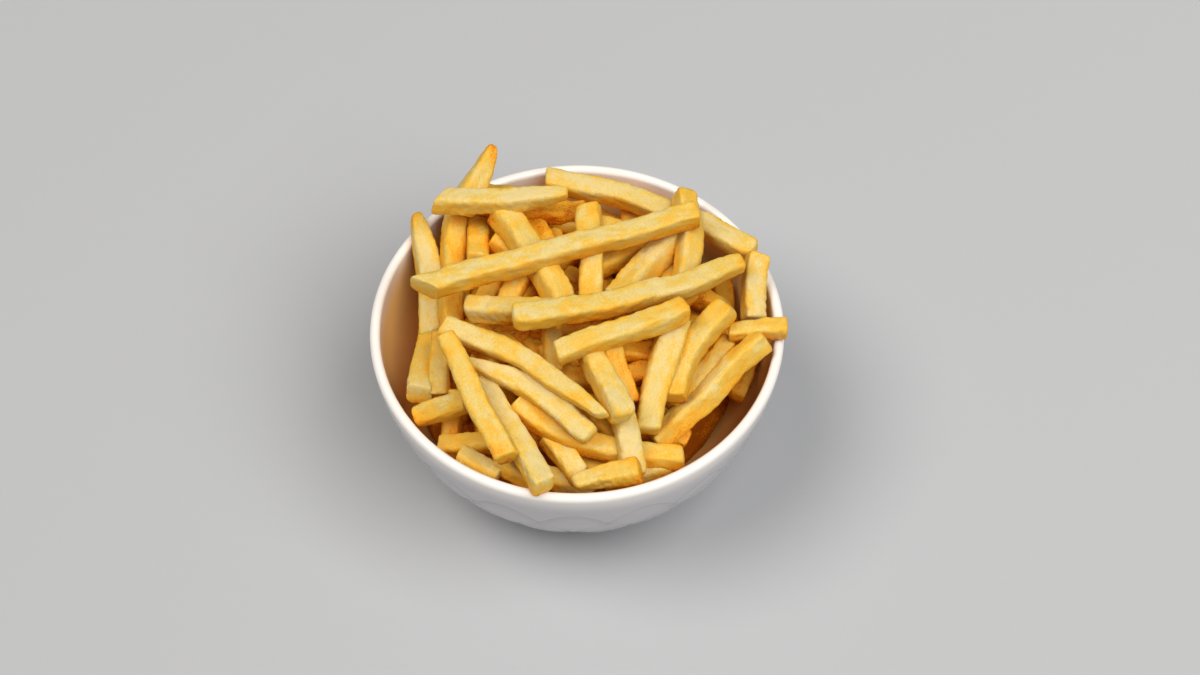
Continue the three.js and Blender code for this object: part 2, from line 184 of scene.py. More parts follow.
# %% [markdown]
# ## Glazed porcelain
#
# The bowl is slip-cast hard porcelain under a glaze. The body is a slightly warm white. The glaze is
# glass with an index of 1.5, smooth but not polished, so its reflections are soft. Over the rim and
# inside it is thin and clear. Outside, below the rim, its colour is painted a touch greyer and cooler:
# painted shade, for the outside is turned from the light. In the recesses of the scales, the "recess"
# attribute, painted shade greys it a little more. Inside, the wall is painted warmer down towards the
# fries: painted warm light that the golden fries throw onto it. The foot ring is wiped bare before
# firing, so that it doesn't stick to the kiln shelf: there the surface is dull and sandy.

# %% Colour of the glaze
GLAZE_WHITE = "#F8F2EB"
# Painted shade: the outside is painted greyer and cooler, as it is turned from the light.
OUTSIDE_SHADE_WHITE = "#C9C6C9"
# Painted shade, greyer still, in the recesses of the scales.
RECESS_SHADE_WHITE = "#C2C0C2"
# Painted warm light that the golden fries throw onto the inside wall.
FRY_BOUNCE_WHITE = "#FFD888"
BARE_PORCELAIN = "#E2D6C6"
BARE_BELOW = 0.7 * MM
GLAZE_WAVE = 9 * MM  # spacing of the glaze's faint unevenness

porcelain, tree, output = new_material("glazed_porcelain")
place = add(tree, "ShaderNodeTexCoord").outputs["Object"]
recessed, outside_shaded, fry_bounced = (
    add(tree, "ShaderNodeAttribute", attribute_name=name).outputs["Fac"]
    for name in ("recess", "outside_shade", "fry_bounce")
)
unevenness = add(
    tree, "ShaderNodeTexNoise", {"Vector": place, "Scale": 1 / GLAZE_WAVE, "Detail": 2.0}
).outputs["Fac"]
# Painted shade in the recesses, patchy with the glaze's unevenness.
recess_shade_share = add(
    tree, "ShaderNodeMath", {0: recessed, 1: unevenness}, operation="MULTIPLY"
).outputs[0]
height = add(tree, "ShaderNodeSeparateXYZ", {0: place}).outputs["Z"]
bare = add(
    tree, "ShaderNodeMath", {0: height, 1: BARE_BELOW}, operation="LESS_THAN"
).outputs[0]
body_colour = linear(GLAZE_WHITE)
for share, hex_colour in (
    (outside_shaded, OUTSIDE_SHADE_WHITE),
    (recess_shade_share, RECESS_SHADE_WHITE),
    (fry_bounced, FRY_BOUNCE_WHITE),
    (bare, BARE_PORCELAIN),
):
    # A Mix node has sockets for numbers, 2 and 3, and others for colours, 6 and 7.
    body_colour = add(
        tree,
        "ShaderNodeMix",
        {"Factor": share, 6: body_colour, 7: linear(hex_colour)},
        data_type="RGBA",
    ).outputs[2]
print("glaze:", GLAZE_WHITE, "inside and", OUTSIDE_SHADE_WHITE, "outside")

# %% Gloss and relief of the glaze
BARE_ROUGHNESS = 0.8
GLAZE_ROUGHNESS = (0.08, 0.15)  # its range over the glaze's unevenness
GLAZE_INDEX = 1.5
GLAZE_WAVE_HEIGHT = 0.15 * MM
GLAZE_BUMP = 0.25  # strength of its bump

gloss = add(
    tree,
    "ShaderNodeMapRange",
    {"Value": unevenness, "To Min": GLAZE_ROUGHNESS[0], "To Max": GLAZE_ROUGHNESS[1]},
).outputs[0]
roughness = add(
    tree, "ShaderNodeMix", {"Factor": bare, 2: gloss, 3: BARE_ROUGHNESS}, data_type="FLOAT"
).outputs[0]
relief = add(
    tree,
    "ShaderNodeBump",
    {"Height": unevenness, "Strength": GLAZE_BUMP, "Distance": GLAZE_WAVE_HEIGHT},
).outputs[0]
glaze = add(
    tree,
    "ShaderNodeBsdfPrincipled",
    {"Base Color": body_colour, "Roughness": roughness, "IOR": GLAZE_INDEX, "Normal": relief},
)
tree.links.new(glaze.outputs[0], output.inputs["Surface"])
print("material:", porcelain.name)

# %% [markdown]
# ## The bowl
#
# A bowl is a profile turned round an axis. Inside and outside are quarters of a superellipse, which
# hang straight down at the rim and run out flat on the floor. The outside carries rows of scales, like
# a fish's: the surface steps in under each arch and comes out again further down. To keep the arches
# crisp, the rows of points follow them instead of lying level, so that every arch is an edge of the
# mesh. The same formulas as in the solid model are used, with many more points.

# %% The bowl's curves
LIP_THICKNESS = 3.5
OUTSIDE_BASE_RADIUS = 24  # where the outside curve would meet the table
OUTSIDE_FULLNESS = 1.8  # power of the outside curve: 2 is an ellipse, more is fuller
INSIDE_DEPTH = 60
FLOOR_RADIUS = 18  # flat part of the inside
INSIDE_FULLNESS = 1.9


def wall_radius(depth, full_depth, base_radius, top_radius, fullness):
    """Superellipse quarter: base + (top - base) * (1 - share ** fullness) ** (1 / fullness)."""
    share = np.clip(depth / full_depth, 0, 1)
    return base_radius + (top_radius - base_radius) * (1 - share**fullness) ** (1 / fullness)


def outside_radius(depth):
    """The outside's plain curve at a depth below the rim."""
    return wall_radius(depth, BOWL_HEIGHT, OUTSIDE_BASE_RADIUS, RIM_RADIUS, OUTSIDE_FULLNESS)


def inside_radius(depth):
    """The inside's curve at a depth below the rim."""
    top = RIM_RADIUS - LIP_THICKNESS
    return wall_radius(depth, INSIDE_DEPTH, FLOOR_RADIUS, top, INSIDE_FULLNESS)


print("outside radius half way down:", round(float(outside_radius(BOWL_HEIGHT / 2)), 1), "mm")

# %% The scales
SCALES = 18  # in each row round the outside
SCALE_TURN = -1  # degrees that the front scale of the top row is turned from the front
CROWN_DEPTHS = (12, 24.5, 36, 46)  # of the arched top edges of each row, below the rim
ARCH_FALLS = (10.3, 10, 8.5, 6.5)  # from an arch's crown to its two ends
ARCH_STEP = 1.3  # depth over which the surface steps in under an arch
SCALE_RECESS = 0.9  # how far it steps in
SCALE_FADE = 16  # depth over which it comes out again


def arch_depth(row, turn):
    """A parabola in each scale: crown depth + fall * away^2, away being 1 at the arch's two ends."""
    shifted = turn + (row % 2) / 2
    away = 2 * np.abs(shifted - np.round(shifted))
    return CROWN_DEPTHS[row] + ARCH_FALLS[row] * away**2


def recess(depth, turn):
    """How far the surface lies in, from 0 to 1: a smooth step under an arch that then fades out."""
    shares = []
    for row in range(len(CROWN_DEPTHS)):
        below = depth - arch_depth(row, turn)
        fade = np.clip(1 - (below - ARCH_STEP) / SCALE_FADE, 0, 1) ** 2
        shares.append(np.minimum(smooth(below / ARCH_STEP), fade))
    return np.max(shares, axis=0)


print(len(CROWN_DEPTHS) * SCALES, "scales")

# %% The foot's rows of points
FOOT_INNER_RADIUS = 28
FOOT_OUTER_RADIUS = 32
FOOT_HEIGHT = 2.6
FOOT_RECESS = 2.4  # height of the hollow underside
FOOT_ROUNDING = 0.6
FOOT_FLARE = 0.4  # how much wider the foot is at the body than at the table
FOOT_ROWS = 7  # on each of its two edges
UNDERSIDE_RADII = (10, 20, 26.5)  # rows of points on the flat underside
UNDERSIDE_COVE = (0.4, 0.5)  # how far the last row before the foot lies inwards, and down


def foot_rows():
    """The hollow underside and the foot ring, whose two edges are quarter circles."""
    quarter = np.linspace(0, np.pi / 2, FOOT_ROWS)
    inner = FOOT_INNER_RADIUS + FOOT_ROUNDING * (1 - np.cos(quarter))
    outer = FOOT_OUTER_RADIUS - FOOT_ROUNDING * (1 - np.sin(quarter))
    cove = [FOOT_INNER_RADIUS - UNDERSIDE_COVE[0], FOOT_RECESS - UNDERSIDE_COVE[1]]
    flat = np.array([[flat_radius, FOOT_RECESS] for flat_radius in UNDERSIDE_RADII] + [cove])
    inner_edge = np.stack([inner, FOOT_ROUNDING * (1 - np.sin(quarter))], -1)
    outer_edge = np.stack([outer, FOOT_ROUNDING * (1 - np.cos(quarter))], -1)
    side = [[FOOT_OUTER_RADIUS + FOOT_FLARE * up, FOOT_HEIGHT * up] for up in (0.5, 1)]
    return np.concatenate([flat, inner_edge, outer_edge, side])


print(len(foot_rows()), "rows")

# %% The outside's rows of points
BODY_START_HEIGHT = 3.4
COLUMNS_PER_SCALE = 28
STEP_ROWS = 5  # on the step under an arch
SCALE_ROWS = 11  # from there down to the next arch
BAND_ROWS = 10  # on the plain band over the top row of scales

turn = np.arange(SCALES * COLUMNS_PER_SCALE) / COLUMNS_PER_SCALE
angle = -np.pi / 2 + math.radians(SCALE_TURN) + 2 * np.pi * turn / SCALES
level = np.ones_like(turn)


def stretch(start, end, steps):
    """Rows from start up to but not including end, evenly spaced."""
    shares = np.arange(steps)[:, None] / steps
    return start + (end - start) * shares


def body_depths():
    """Depths of the outside's rows, from the foot up to the band under the lip, along the arches."""
    arches = [arch_depth(row, turn) for row in range(len(CROWN_DEPTHS))]
    rows = [stretch((BOWL_HEIGHT - BODY_START_HEIGHT) * level, arches[-1] + ARCH_STEP, SCALE_ROWS)]
    for row in range(len(arches) - 1, -1, -1):
        above = arches[row - 1] + ARCH_STEP if row > 0 else LIP_THICKNESS / 2 * level
        rows.append(stretch(arches[row] + ARCH_STEP, arches[row], STEP_ROWS))
        rows.append(stretch(arches[row], above, SCALE_ROWS if row > 0 else BAND_ROWS))
    return np.concatenate(rows)


print(len(body_depths()), "rows of", len(turn), "points")

# %% The lip's and the inside's rows of points
LIP_ROWS = 14
INSIDE_ROWS = 34
INSIDE_START = 0.5  # mm from the lip's round to the first row of the inside, at the least


def lip_and_inside_rows():
    """A half circle over the lip, then the inside down to the floor, closer together at the floor."""
    half = np.linspace(0, np.pi, LIP_ROWS)
    lip = LIP_THICKNESS / 2
    across = RIM_RADIUS - lip + lip * np.cos(half)
    up = BOWL_HEIGHT - lip + lip * np.sin(half)
    over = np.stack([across, up], -1)
    depth = INSIDE_DEPTH * np.sin(np.pi / 2 * np.linspace(0, 1, INSIDE_ROWS + 1)[1:])
    depth = depth[depth > lip + INSIDE_START]
    return np.concatenate([over, np.stack([inside_radius(depth), BOWL_HEIGHT - depth], -1)])


print(len(lip_and_inside_rows()), "rows")

# %% The bowl's mesh
FRY_BOUNCE_START = 0.5  # mm below the rim where the painted warm light from the fries starts
FRY_BOUNCE_REACH = 10  # mm over which it comes to its full warmth
OUTSIDE_SHADE_REACH = 10  # mm below the rim where the painted shade outside is full


def make_bowl():
    """Points at (radius * cos, radius * sin, height), every row going once round the axis."""
    below, above = foot_rows(), lip_and_inside_rows()
    depths = body_depths()
    sunk = recess(depths, turn)
    radius = np.concatenate([
        below[:, :1] * level,
        outside_radius(depths) - SCALE_RECESS * sunk,
        above[:, :1] * level,
    ])
    height = np.concatenate([below[:, 1:] * level, BOWL_HEIGHT - depths, above[:, 1:] * level])
    sunk = np.concatenate([below[:, :1] * 0 * level, sunk, above[:, :1] * 0 * level])
    points = np.stack([radius * np.cos(angle), radius * np.sin(angle), height], -1)
    poles = np.array([[0, 0, FOOT_RECESS], [0, 0, BOWL_HEIGHT - INSIDE_DEPTH]])
    inside = np.arange(len(radius))[:, None] >= len(below) + len(depths) + LIP_ROWS
    # Painted warm light from the fries on the inside wall, growing down from the rim.
    fry_bounce = inside * smooth((BOWL_HEIGHT - FRY_BOUNCE_START - height) / FRY_BOUNCE_REACH)
    outside = np.arange(len(radius))[:, None] < len(below) + len(depths)
    # Painted shade on the outside, growing below the rim.
    outside_shade = outside * smooth((BOWL_HEIGHT - height) / OUTSIDE_SHADE_REACH)
    skin = SimpleNamespace(
        points=points,
        poles=poles,
        values={"recess": (sunk, (0, 0)), "fry_bounce": (fry_bounce, (0, 1)), "outside_shade": (outside_shade, (1, 0))},
    )
    return make_piece("porcelain_bowl", [skin], porcelain)


bowl = make_bowl()
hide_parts("bowl")

# %% [markdown]
# ## Where the fries lie
#
# A heap isn't modelled fry by fry in space: that takes forever, and it never looks as if the fries
# rested on each other. Here each fry is marked on the plane of the rim, as it is seen from one point,
# EYE. It is then slid along its line of sight to the height where it settles, which changes nothing in
# that view. Fries that cross must lie one over the other, so every crossing pushes the upper fry up
# and the lower one down, while each is drawn back to its layer. After some sweeps the heap is at rest.
# A row below gives a fry's two ends, its width and its bow, as in the solid model, and then what only
# the eye sees: how golden it is, its roll, and the size and the browning of its two tips.

# %% The placed fries
EYE = np.array([8.0, -461.0, 705.0])


def fry(x1, y1, x2, y2, width, bow=0.0, held=None, **look):
    """One fry of the lists. Held gives the heights of its two ends, where the heap doesn't."""
    marks = np.array([[x1, y1], [x2, y2]], float)
    one = SimpleNamespace(marks=marks, width=width, bow=bow, held=held)
    one.tone = 0.3  # from 0, pale cream, to 1, brown
    one.roll = 0  # degrees about its own line
    one.tips = (1, 1)  # size of the section at its two ends
    one.ends = (0.2, 0.25)  # length of the rounding at its two ends, in widths
    one.cut = (0, 0)  # slant of its two end faces
    one.brown = (0, 0)  # how much browner its two ends are
    vars(one).update(look)
    return one


DEEP_FRIES = [
    fry(-35, 49, -34, 25, 7.8, tone=0.42, ends=(0.5, 0.3)),
    fry(-30, 36, -12, 21, 7.5, tone=0.52),
    fry(-18, 46, -10, 32, 7.5, tone=0.57),
    fry(3, 22, 27, 34, 7.5, tone=0.42),
    fry(-40, -27, -41, -53, 6.5, tone=0.37),
    fry(-44, -50, -18, -46, 7, tone=0.38),
    fry(-38, -52.5, -24.5, -60.5, 6.4, held=(59, 57), tone=0.2),
    fry(-25, -54, -12.5, -63.5, 7, held=(60, 57), tone=0.2),
    # These two lie only here: the solid model has its core in their place.
    fry(-14, -60.5, 6, -66, 6.5, held=(54, 54), tone=0.2),
    fry(9, -63, 31, -56.5, 6.5, held=(54, 54), tone=0.2),
    fry(-44, -4, -25, -16, 6.5, tone=0.42),
    fry(-9, 2, -8, -20, 6.5, held=(71, 65), tone=0.2),
    fry(-17, 26, -25, 4, 7, tone=0.27),
    fry(34, 16, 51, 4, 7, tone=0.62),
    fry(58, -14, 52.5, -30.5, 6, held=(46, 44), tone=0.42, ends=(0.2, 0.4)),
    fry(21, -42, 36, -48, 6.5, tone=0.57),
    fry(7, -11, 37, -14, 7, tone=0.6),
    fry(9, -23, 35, -19, 7, tone=0.6),
    fry(11, -8, 18, -33, 7, tone=0.4, brown=(0, 0.5)),
    fry(-5, -27, 13, -46, 7, tone=0.52),
]
MIDDLE_FRIES = [
    fry(-35, 56, -9, 54, 6, tone=0.35),
    fry(-36, 49, 2, 47.5, 7, bow=-1, tone=0.7, brown=(0, 0.2), cut=(0, 0.5)),
    fry(4, 50, 5, 6, 8.2, tone=0.33),
    fry(-11.5, 62.5, 61, 30, 8, bow=4.5, tone=0.2, roll=10, ends=(0.3, 0.5)),
    fry(32.5, 36, 13, 8.5, 9, tone=0.22, roll=15),
    fry(37, 56.5, 36, 10, 8.2, bow=2, tone=0.25, roll=-25, ends=(0.6, 0.2)),
    fry(63, 29, 60, 1, 8, bow=-1.5, held=(73, 63), tone=0.12, roll=-12),
    fry(-28, 48.5, -5, 8, 9.2, bow=1.5, tone=0.3, roll=-12, brown=(0.25, 0)),
    fry(-56.5, 47.5, -48.5, -11, 8.8, bow=2, tone=0.15,
        tips=(0.45, 1), brown=(0.45, 0), ends=(0.5, 0.2)),
    fry(-41.5, 51, -42, -4, 8.2, bow=-1.5, tone=0.35, roll=-25),
    fry(-30.5, 78.5, -41.5, 47, 9.5, bow=0.5, held=(88, 76), tone=0.25, roll=-38,
        tips=(0.35, 1), brown=(0.4, 0), ends=(0.5, 0.2)),
    fry(-37.5, 5.5, -6, 3, 8, bow=1, tone=0.25, ends=(0.45, 0.2)),
    # Its near end face is painted paler: painted light, for that face is turned to the light.
    fry(-48.5, 3, -52, -29.5, 8.8, held=(46, 63), tone=0.36, ends=(0.2, 0.12), brown=(0, -0.3)),
    fry(-46, -3, -45, -29, 6.5, tone=0.35),
    fry(-51.5, -38.5, -36, -31, 7, tone=0.22, roll=25, brown=(0.2, 0), ends=(0.1, 0.2)),
    fry(52, -7, 31, -34, 6.2, tone=0.4, ends=(0.5, 0.2)),
    fry(63, -6, 26, -48.5, 7.6, tone=0.3, roll=30, ends=(0.35, 0.3)),
    fry(51.5, 7.5, 31.5, -31, 8.4, bow=-3, tone=0.35, roll=15, ends=(0.5, 0.2)),
    fry(33, 3, 22.5, -44, 8.8, tone=0.23, roll=-18),
    fry(-10, -45, 2, -62, 7.4, tone=0.28),
    fry(-21, -33, 35, -53.5, 6.8, bow=-6, tone=0.36, ends=(0.2, 0.4)),
    fry(14.5, -34, 19, -61, 8, tone=0.15),
    fry(4, -11, 15.5, -39, 8, tone=0.12, ends=(0.2, 0.5)),
]
TOP_FRIES = [
    fry(-45, -1.5, 8.5, -38, 7.4, bow=4, tone=0.22, tips=(1, 0.5), cut=(0, 0.6)),
    fry(-31, -22, -9.5, -65, 7.8, bow=-1, tone=0.12, tips=(0.7, 1)),
    fry(-37, -15.5, 5, -46, 7.8, bow=3.5, tone=0.12, roll=20, tips=(0.35, 1), ends=(0.4, 0.5)),
    fry(-44.5, -5, -22.5, -54.5, 8, tone=0.34, roll=14, tips=(0.8, 1), ends=(0.2, 0.12)),
    fry(-1, -64, 21, -58.5, 8, bow=1, tone=0.2, tips=(0.7, 1), brown=(0, 0.4), ends=(0.5, 0.2)),
    fry(-7, -13, 37, 6, 7.6, tone=0.24, brown=(0, 0.2), ends=(0.2, 0.35)),
    fry(-22, 2.5, 57, 26, 7.8, bow=-4, tone=0.23,
        tips=(1, 0.8), brown=(0, 0.25), ends=(0.45, 0.4)),
    fry(-49, 52.5, -3.5, 56, 7.4, bow=-1, tone=0.12,
        tips=(1, 0.55), brown=(0.1, 0.25), cut=(0.7, 0)),
    fry(-53, 15, 42, 47, 7.8, tone=0.25, brown=(0, 0.35), cut=(-0.9, 0), ends=(0.1, 0.2)),
    fry(51, -4, 71, -1.5, 6.8, held=(69, 70.5), tone=0.35, brown=(0, 0.25), tips=(0.8, 1)),
]
print(len(DEEP_FRIES) + len(MIDDLE_FRIES) + len(TOP_FRIES), "fries are placed")

# %% [markdown]
# The fries of the bed show only in the gaps, so a rule lays them: the golden angle spreads them as
# evenly as the seeds of a sunflower, and a seeded draw swings each one. The draw is the one of the
# solid model, written out, so that both have the same bed.

# %% The bed under them
BED_FRIES = 24
BED_RADIUS = 55
BED_SHIFT = -5  # moves the bed's middle to the front
BED_LIMIT = 55  # no fry of the bed reaches further out from that middle
BED_SWING = 2.4  # radians by which their headings vary
BED_LENGTHS = (28, 44)  # least and most
BED_WIDTHS = (6.4, 7.9)  # least and most
BED_TONE = 0.35
BED_SEED = 114
DRAW_FACTOR = 16807
DRAW_MODULUS = 2147483647  # 2^31 - 1


def make_draw(seed):
    """A repeatable draw of numbers from 0 to 1: each state is factor * the last, modulo a prime."""
    state = seed
    while True:
        state = state * DRAW_FACTOR % DRAW_MODULUS
        yield state / DRAW_MODULUS


def bed(seed, count, radius, shift, tone):
    """Fries spread evenly by the golden angle, each turned across its radius and then swung a bit."""
    draw = make_draw(seed)
    rows = []
    for i in range(count):
        away = radius * math.sqrt((i + 0.5) / count)
        turned = i * math.pi * (3 - math.sqrt(5))
        middle = np.array([away * math.cos(turned), away * math.sin(turned) + shift])
        heading = turned + math.pi / 2 + (next(draw) - 0.5) * BED_SWING
        half = (BED_LENGTHS[0] + (BED_LENGTHS[1] - BED_LENGTHS[0]) * next(draw)) / 2
        reach = half * np.array([math.cos(heading), math.sin(heading)])
        ends = np.array([middle - reach, middle + reach]) - (0, shift)
        ends *= np.minimum(1, BED_LIMIT / np.linalg.norm(ends, axis=1))[:, None]
        ends += (0, shift)
        width = BED_WIDTHS[0] + (BED_WIDTHS[1] - BED_WIDTHS[0]) * next(draw)
        rows.append(fry(*ends[0], *ends[1], width, tone=tone))
    return rows


BED = bed(BED_SEED, BED_FRIES, BED_RADIUS, BED_SHIFT, BED_TONE)
print(len(BED), "fries in the bed")

# %% [markdown]
# A physics engine could drop the fries, but then they would lie anywhere. Instead every fry's two ends
# get a height from a dome, HEAP_TOP high in the middle, and a few sums part the fries that meet. The
# values are those of the solid model, so that its fries and these ones lie alike, to a few millimetres.

# %% Marks and lines of sight
def slide(marks, heights):
    """Marks on the rim's plane, moved along the lines from EYE through them to the given heights."""
    share = (EYE[2] - heights) / (EYE[2] - BOWL_HEIGHT)
    flat = EYE[:2] + (marks - EYE[:2]) * share[..., None]
    return np.concatenate([flat, heights[..., None]], -1)


def marks_along(one, shares):
    """A straight line between a fry's two marks with a parabola's bow to the left: 4 t (1 - t) bow."""
    run = one.marks[1] - one.marks[0]
    left = np.array([-run[1], run[0]]) / np.hypot(*run)
    shares = np.asarray(shares, float)[..., None]
    return one.marks[0] + run * shares + left * 4 * shares * (1 - shares) * one.bow


print("a mark at 0, 0, lifted to 76:", np.round(slide(np.zeros(2), np.array(76.0)), 1))

# %% How high a fry may lie
HEAP_TOP = 87
HEAP_MIDDLE = np.array([-4.0, 12.0])
HEAP_FALL = 26  # how much lower the dome is at HEAP_REACH from its middle
HEAP_REACH = 72
LAYER_DROP = 7  # how much lower each layer lies than the one above it
CORE_TOP = 66
CORE_FALL = 27
CLEARANCE = 0.35  # between a fry and the bowl
HEAP_SEARCHES = 12  # each halves the error of a height
FREE_STEP = 0.5  # in the search for a free range
SKY = 130  # no free range reaches higher than this


def core_height(x, y):
    """A dome: top - fall * (distance / reach)^2."""
    away = np.hypot(x - HEAP_MIDDLE[0], y - HEAP_MIDDLE[1])
    return CORE_TOP - CORE_FALL * (away / HEAP_REACH) ** 2


def heap_height(mark, drop):
    """The height at which the line of sight through a mark meets the heap's dome, less a drop."""
    height = np.array(float(BOWL_HEIGHT))
    for _ in range(HEAP_SEARCHES):
        point = slide(mark, height)
        away = np.hypot(*(point[:2] - HEAP_MIDDLE))
        height = (height + HEAP_TOP - drop - HEAP_FALL * (away / HEAP_REACH) ** 2) / 2
    return float(height)


def blocked(mark, height, half):
    """Whether a fry's end of a given half width runs into the bowl or deep into the core."""
    x, y, _ = slide(mark, np.array(height))
    depth = BOWL_HEIGHT - height
    if depth < -half:
        return False
    wall = inside_radius(max(depth, 0)) - CLEARANCE
    return math.hypot(x, y) > wall - half or height < core_height(x, y)


def free_range(mark, goal, half):
    """The lowest and highest free height round a goal, found in small steps, and the goal itself."""
    start = goal
    while blocked(mark, start, half):
        start += FREE_STEP
    low = high = start
    while low > 0 and not blocked(mark, low - FREE_STEP, half):
        low -= FREE_STEP
    while high < SKY and not blocked(mark, high + FREE_STEP, half):
        high += FREE_STEP
    return start, low, high


def plan(one, layer):
    """Sets a fry's goals, its free ranges and its first heights. Layer 0 is the top of the heap."""
    goals = one.held or [heap_height(mark, layer * LAYER_DROP) for mark in one.marks]
    ranges = [free_range(mark, goal, one.width / 2) for mark, goal in zip(one.marks, goals)]
    one.goals, one.lows, one.highs = (np.array(column, float) for column in zip(*ranges))
    if one.held:
        one.lows = one.highs = one.goals
    one.heights = one.goals.copy()


layers = [TOP_FRIES, MIDDLE_FRIES, DEEP_FRIES, BED]
for layer, rows in enumerate(layers):
    for row in rows:
        plan(row, layer)
print("the top layer's first fry aims at", np.round(TOP_FRIES[0].goals, 1).tolist())

# %% How they settle
THICKNESS_SHARE = 0.9  # thickness over width in the sums for contacts, as in the solid model
SETTLE_SHARE = 0.88  # how much of their thickness keeps crossing fries apart
SPAN_SAMPLES = 9  # spots along a fry that are tried for contacts
SETTLING_SWEEPS = 120
PULL = 0.08  # share of the way back to its goal that a fry goes in a sweep
# The sine of the line of sight's slope: by so much a distance along Y looks shorter.
SIGHT_RISE = (EYE[2] - BOWL_HEIGHT) / math.hypot(EYE[1], EYE[2] - BOWL_HEIGHT)


def find_contacts(fries):
    """
    Where a fry looks closer to an earlier one than both are thick, the later one has to lie higher
    by sqrt(apart^2 - away^2). Distances along Y count less, because the line of sight leans.
    """
    squeeze = np.array([1, SIGHT_RISE])
    shares = np.linspace(0, 1, SPAN_SAMPLES)
    contacts = []
    for order, upper in enumerate(fries):
        spots = marks_along(upper, shares) * squeeze
        for lower in fries[:order]:
            apart = (upper.width + lower.width) / 2 * THICKNESS_SHARE * SETTLE_SHARE
            start, end = lower.marks * squeeze
            along = np.clip((spots - start) @ (end - start) / ((end - start) @ (end - start)), 0, 1)
            near = marks_along(lower, along) * squeeze
            away = np.hypot(*(spots - near).T)
            for i in np.flatnonzero(away < apart):
                gap = math.sqrt(apart**2 - away[i] ** 2)
                contacts.append((upper, float(shares[i]), lower, float(along[i]), gap))
    return contacts


def settle(fries):
    """Sweeps: back towards the goal by PULL, then every contact parted, then kept in the free range."""
    contacts = find_contacts(fries)
    for _ in range(SETTLING_SWEEPS):
        for one in fries:
            one.heights += PULL * (one.goals - one.heights)
        for upper, high, lower, low, gap in contacts:
            top = upper.heights[0] * (1 - high) + upper.heights[1] * high
            bottom = lower.heights[0] * (1 - low) + lower.heights[1] * low
            missing = gap - top + bottom
            if missing > 0:
                share = missing / ((1 - high) ** 2 + high**2 + (1 - low) ** 2 + low**2)
                upper.heights += share * np.array([1 - high, high])
                lower.heights -= share * np.array([1 - low, low])
        for one in fries:
            one.heights = np.clip(one.heights, one.lows, one.highs)
    return len(contacts)


touching = settle([row for rows in reversed(layers) for row in rows])
print(touching, "contacts; that fry lies at", np.round(TOP_FRIES[0].heights, 1).tolist())

# %% [markdown]
# ## Fried potato
#
# A fry's crust is dried starch that has browned in hot oil, golden and then brown on its edges and
# at its ends. On top of that comes painted shade: the faces that lie upwards are painted a pale cream,
# while the sides and the fries deep in the heap are painted golden and then brown, where less light
# reaches. Each skin carries its own value of toast and painted shade, from 0 for pale to 1 for brown,
# worked out where the fry's shape is known. The shader adds what is finer: patches, blotches and the
# grain of the crust, the first two drawn out along the fry. Starch lets light in a little way, which
# gives the glow between two fries. The crust is dull, with a slight shine where the film of oil lies.

# %% Colour of the crust
TOAST_COLOURS = (
    (0.00, "#E2CC8C"),
    (0.15, "#E3C66C"),
    (0.32, "#E8BE4E"),
    (0.52, "#EEB838"),
    (0.72, "#F1A920"),
    (0.88, "#E88F0E"),
    (1.00, "#C06A06"),
)
PATCH = 6 * MM
BLOTCH = 2.2 * MM
GRAIN = 0.6 * MM  # coarser than the real grain, which is too fine to show
STRETCH = (0.5, 1, 1)  # draws patches and blotches out to twice their length along a fry

crust, tree, output = new_material("fried_potato_crust")
# This value holds the crust's browning and the painted shade of the sides, the deep fries and the core.
toast_and_shade = add(tree, "ShaderNodeAttribute", attribute_name="toast_and_shade").outputs["Fac"]
place = add(tree, "ShaderNodeAttribute", attribute_name="fry_place").outputs["Vector"]
lengthways = add(tree, "ShaderNodeMapping", {"Vector": place, "Scale": STRETCH}).outputs[0]
patches = add(
    tree, "ShaderNodeTexNoise", {"Vector": lengthways, "Scale": 1 / PATCH, "Detail": 2.0}
).outputs["Fac"]
blotches = add(
    tree, "ShaderNodeTexNoise", {"Vector": lengthways, "Scale": 1 / BLOTCH, "Detail": 3.0}
).outputs["Fac"]
grain = add(
    tree, "ShaderNodeTexNoise", {"Vector": place, "Scale": 1 / GRAIN, "Detail": 2.0, "Roughness": 0.7}
).outputs["Fac"]
browning_and_shade = toast_and_shade
for pattern, (low, high), (less, more) in (
    (patches, (0.45, 0.6), (-0.1, 0.15)),
    (blotches, (0.3, 0.7), (-0.12, 0.12)),
    (grain, (0.3, 0.7), (-0.26, 0.22)),
):
    # The pattern's values from low to high shift the toast value by less up to more.
    change = add(
        tree,
        "ShaderNodeMapRange",
        {"Value": pattern, "From Min": low, "From Max": high, "To Min": less, "To Max": more},
    ).outputs[0]
    browning_and_shade = add(tree, "ShaderNodeMath", {0: browning_and_shade, 1: change}, operation="ADD").outputs[0]
colours = add(tree, "ShaderNodeValToRGB", {"Fac": browning_and_shade})
stops = colours.color_ramp.elements
stops[0].position, stops[0].color = TOAST_COLOURS[0][0], linear(TOAST_COLOURS[0][1])
stops[1].position, stops[1].color = TOAST_COLOURS[-1][0], linear(TOAST_COLOURS[-1][1])
for position, hex_colour in TOAST_COLOURS[1:-1]:
    stops.new(position).color = linear(hex_colour)
print("from pale to brown in", len(stops), "steps")

# %% Gloss, relief and glow of the crust
OILINESS = (0.36, 0.6)  # roughness where the film of oil lies, and where the crust is dry
BLISTER_HEIGHT = 0.38 * MM
GRAIN_HEIGHT = 0.3 * MM
CRUST_BUMP = 0.8  # strength of both bumps
CRUST_INDEX = 1.45
CRUST_SHINE = 0.35  # its specular level, low because the crust is full of pores
GLOW_SHARE = 0.55  # how much of the light goes in before it comes back
GLOW_DEPTH = 1.6 * MM  # how far red light goes into the potato
GLOW_COLOURS = (1.0, 0.85, 0.4)  # shares of that depth for red, green and blue

